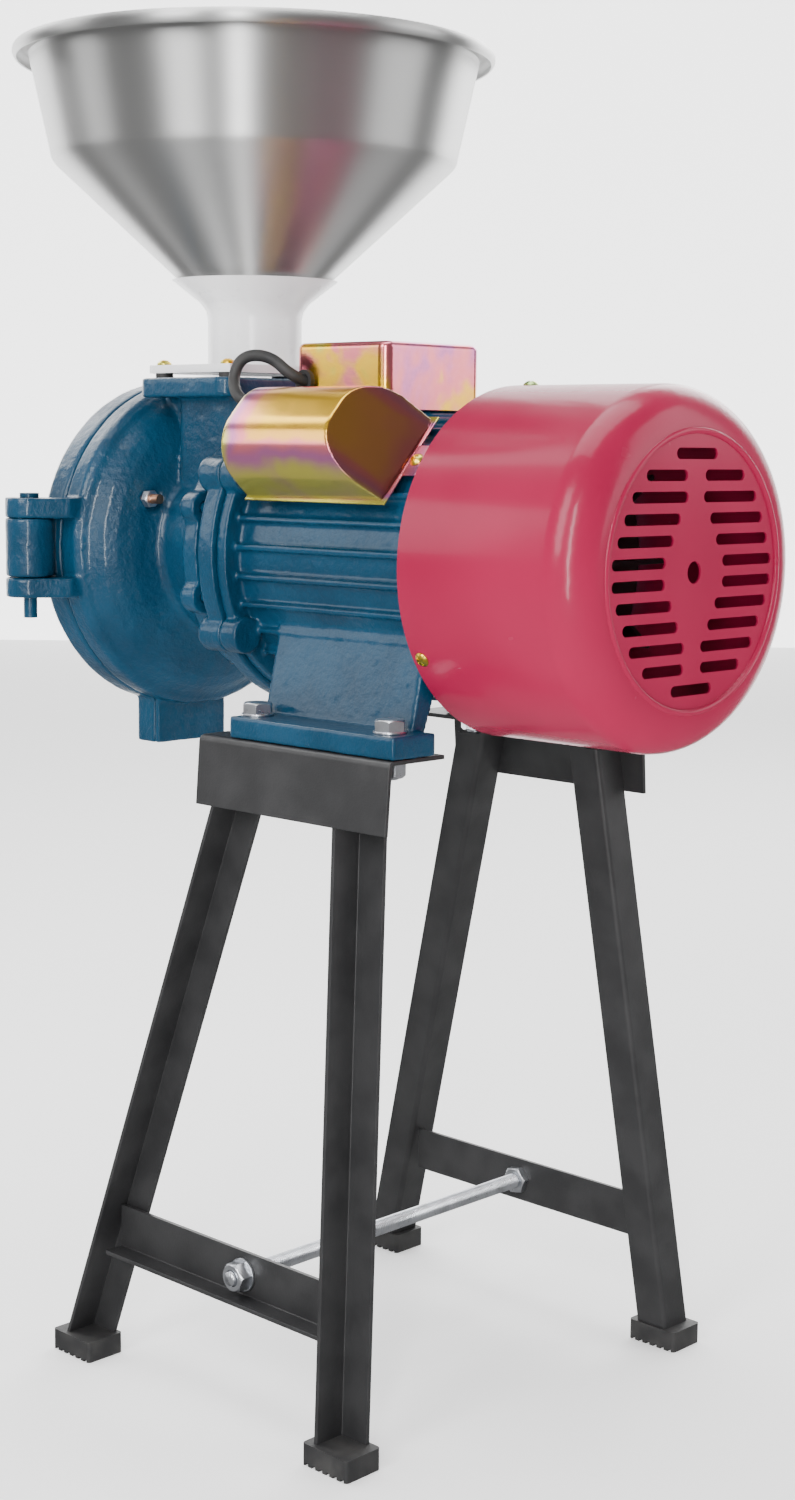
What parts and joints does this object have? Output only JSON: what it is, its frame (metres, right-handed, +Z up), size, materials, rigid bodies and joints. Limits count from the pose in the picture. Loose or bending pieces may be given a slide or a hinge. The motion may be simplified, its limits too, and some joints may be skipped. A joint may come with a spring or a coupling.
{
  "type": "electric disc grain mill on a stand",
  "caption": "Foot-mounted motor driving a hinged disc grinding head, with a steel hopper on a plastic collar, on an angle-iron trestle stand.",
  "frame": {"origin": "on the floor, at the middle of the overall box", "axes": "+X along the motor shaft from the grinding head to the fan, +Y away from the cover's hinge, +Z up"},
  "size_m": [0.514, 0.3, 0.81],
  "materials": {
    "blue_enamel": "gloss enamel over rough sand casting",
    "red_enamel": "gloss enamel on drawn sheet",
    "black_paint": "satin paint on steel",
    "black_rubber": "matt rubber",
    "bright_zinc": "bright zinc plating",
    "yellow_zinc": "iridescent yellow zinc chromate",
    "stainless": "spun satin stainless steel",
    "white_plastic": "moulded plastic",
    "black_plastic": "moulded plastic",
    "copper_steel": "copper-coloured stud ends",
    "disc_iron": "ground chilled iron",
    "felt": "felt ring",
    "lamination": "stacked electrical steel",
    "copper_wire": "varnished winding",
    "bearing_steel": "ground steel"
  },
  "bodies": {
    "base": {"motor_frame": "blue_enamel", "front_end_shield": "blue_enamel", "rear_end_shield": "blue_enamel", "grinding_housing": "blue_enamel", "fan_cover": "red_enamel", "near_top_bracket": "black_paint", "far_top_bracket": "black_paint", "leg_near_left": "black_paint", "leg_near_right": "black_paint", "leg_far_left": "black_paint", "leg_far_right": "black_paint", "near_lower_rail": "black_paint", "far_lower_rail": "black_paint", "rubber_shoes": "black_rubber", "tie_rod": "bright_zinc", "tie_rod_nuts": "bright_zinc", "tie_rod_washers": "bright_zinc", "foot_bolts": "bright_zinc", "foot_washers": "bright_zinc", "foot_nuts": "bright_zinc", "end_shield_bolts": "blue_enamel", "neck_bolts": "blue_enamel", "fan_cover_screws": "yellow_zinc", "capacitor_cover": "yellow_zinc", "capacitor_cover_screw": "yellow_zinc", "cable_grommets": "black_rubber", "terminal_box": "yellow_zinc", "capacitor": "black_plastic", "terminal_block": "black_plastic", "jumper_cable": "black_rubber", "hopper": "stainless", "collar": "white_plastic", "collar_screws": "yellow_zinc", "collar_spacers": "black_rubber", "disc_studs": "copper_steel", "disc_stud_nuts": "bright_zinc", "fixed_disc": "disc_iron", "shaft_seal": "felt", "stator_core": "lamination", "stator_windings": "copper_wire", "bearing_outer_rings": "bearing_steel", "hinge_pin": "blue_enamel", "clamp_pin": "bright_zinc"},
    "rotor": {"shaft": "bearing_steel", "rotor_core": "lamination", "cooling_fan": "black_plastic", "feed_auger": "disc_iron", "turning_disc": "disc_iron", "disc_end_nut": "bright_zinc", "bearing_inner_rings": "bearing_steel", "bearing_balls": "bearing_steel"},
    "cover": {"front_cover": "blue_enamel", "gap_lock_nut": "bright_zinc"},
    "gap_adjuster": {"gap_screw": "bright_zinc", "gap_knob": "black_plastic"},
    "swing_bolt": {"swing_bolt": "bright_zinc"},
    "swing_nut": {"swing_nut": "black_plastic"}
  },
  "joints": [
    {"name": "rotor_spin", "type": "hinge", "parent": "base", "child": "rotor", "pos_m": [0, 0, 0.502], "axis": [1, 0, 0], "continuous": true},
    {"name": "cover_hinge", "type": "hinge", "parent": "base", "child": "cover", "pos_m": [-0.169, -0.122, 0.502], "axis": [0, 0, 1], "range_deg": [0, 110]},
    {"name": "gap_turn", "type": "hinge", "parent": "cover", "child": "gap_adjuster", "pos_m": [-0.2, 0, 0.502], "axis": [1, 0, 0], "range_deg": [-360, 360]},
    {"name": "clamp_swing", "type": "hinge", "parent": "base", "child": "swing_bolt", "pos_m": [-0.15, 0.118, 0.502], "axis": [0, 1, 0], "range_deg": [0, 90]},
    {"name": "clamp_nut_turn", "type": "hinge", "parent": "swing_bolt", "child": "swing_nut", "pos_m": [-0.15, 0.118, 0.46], "axis": [0, 0, 1], "continuous": true}
  ]
}
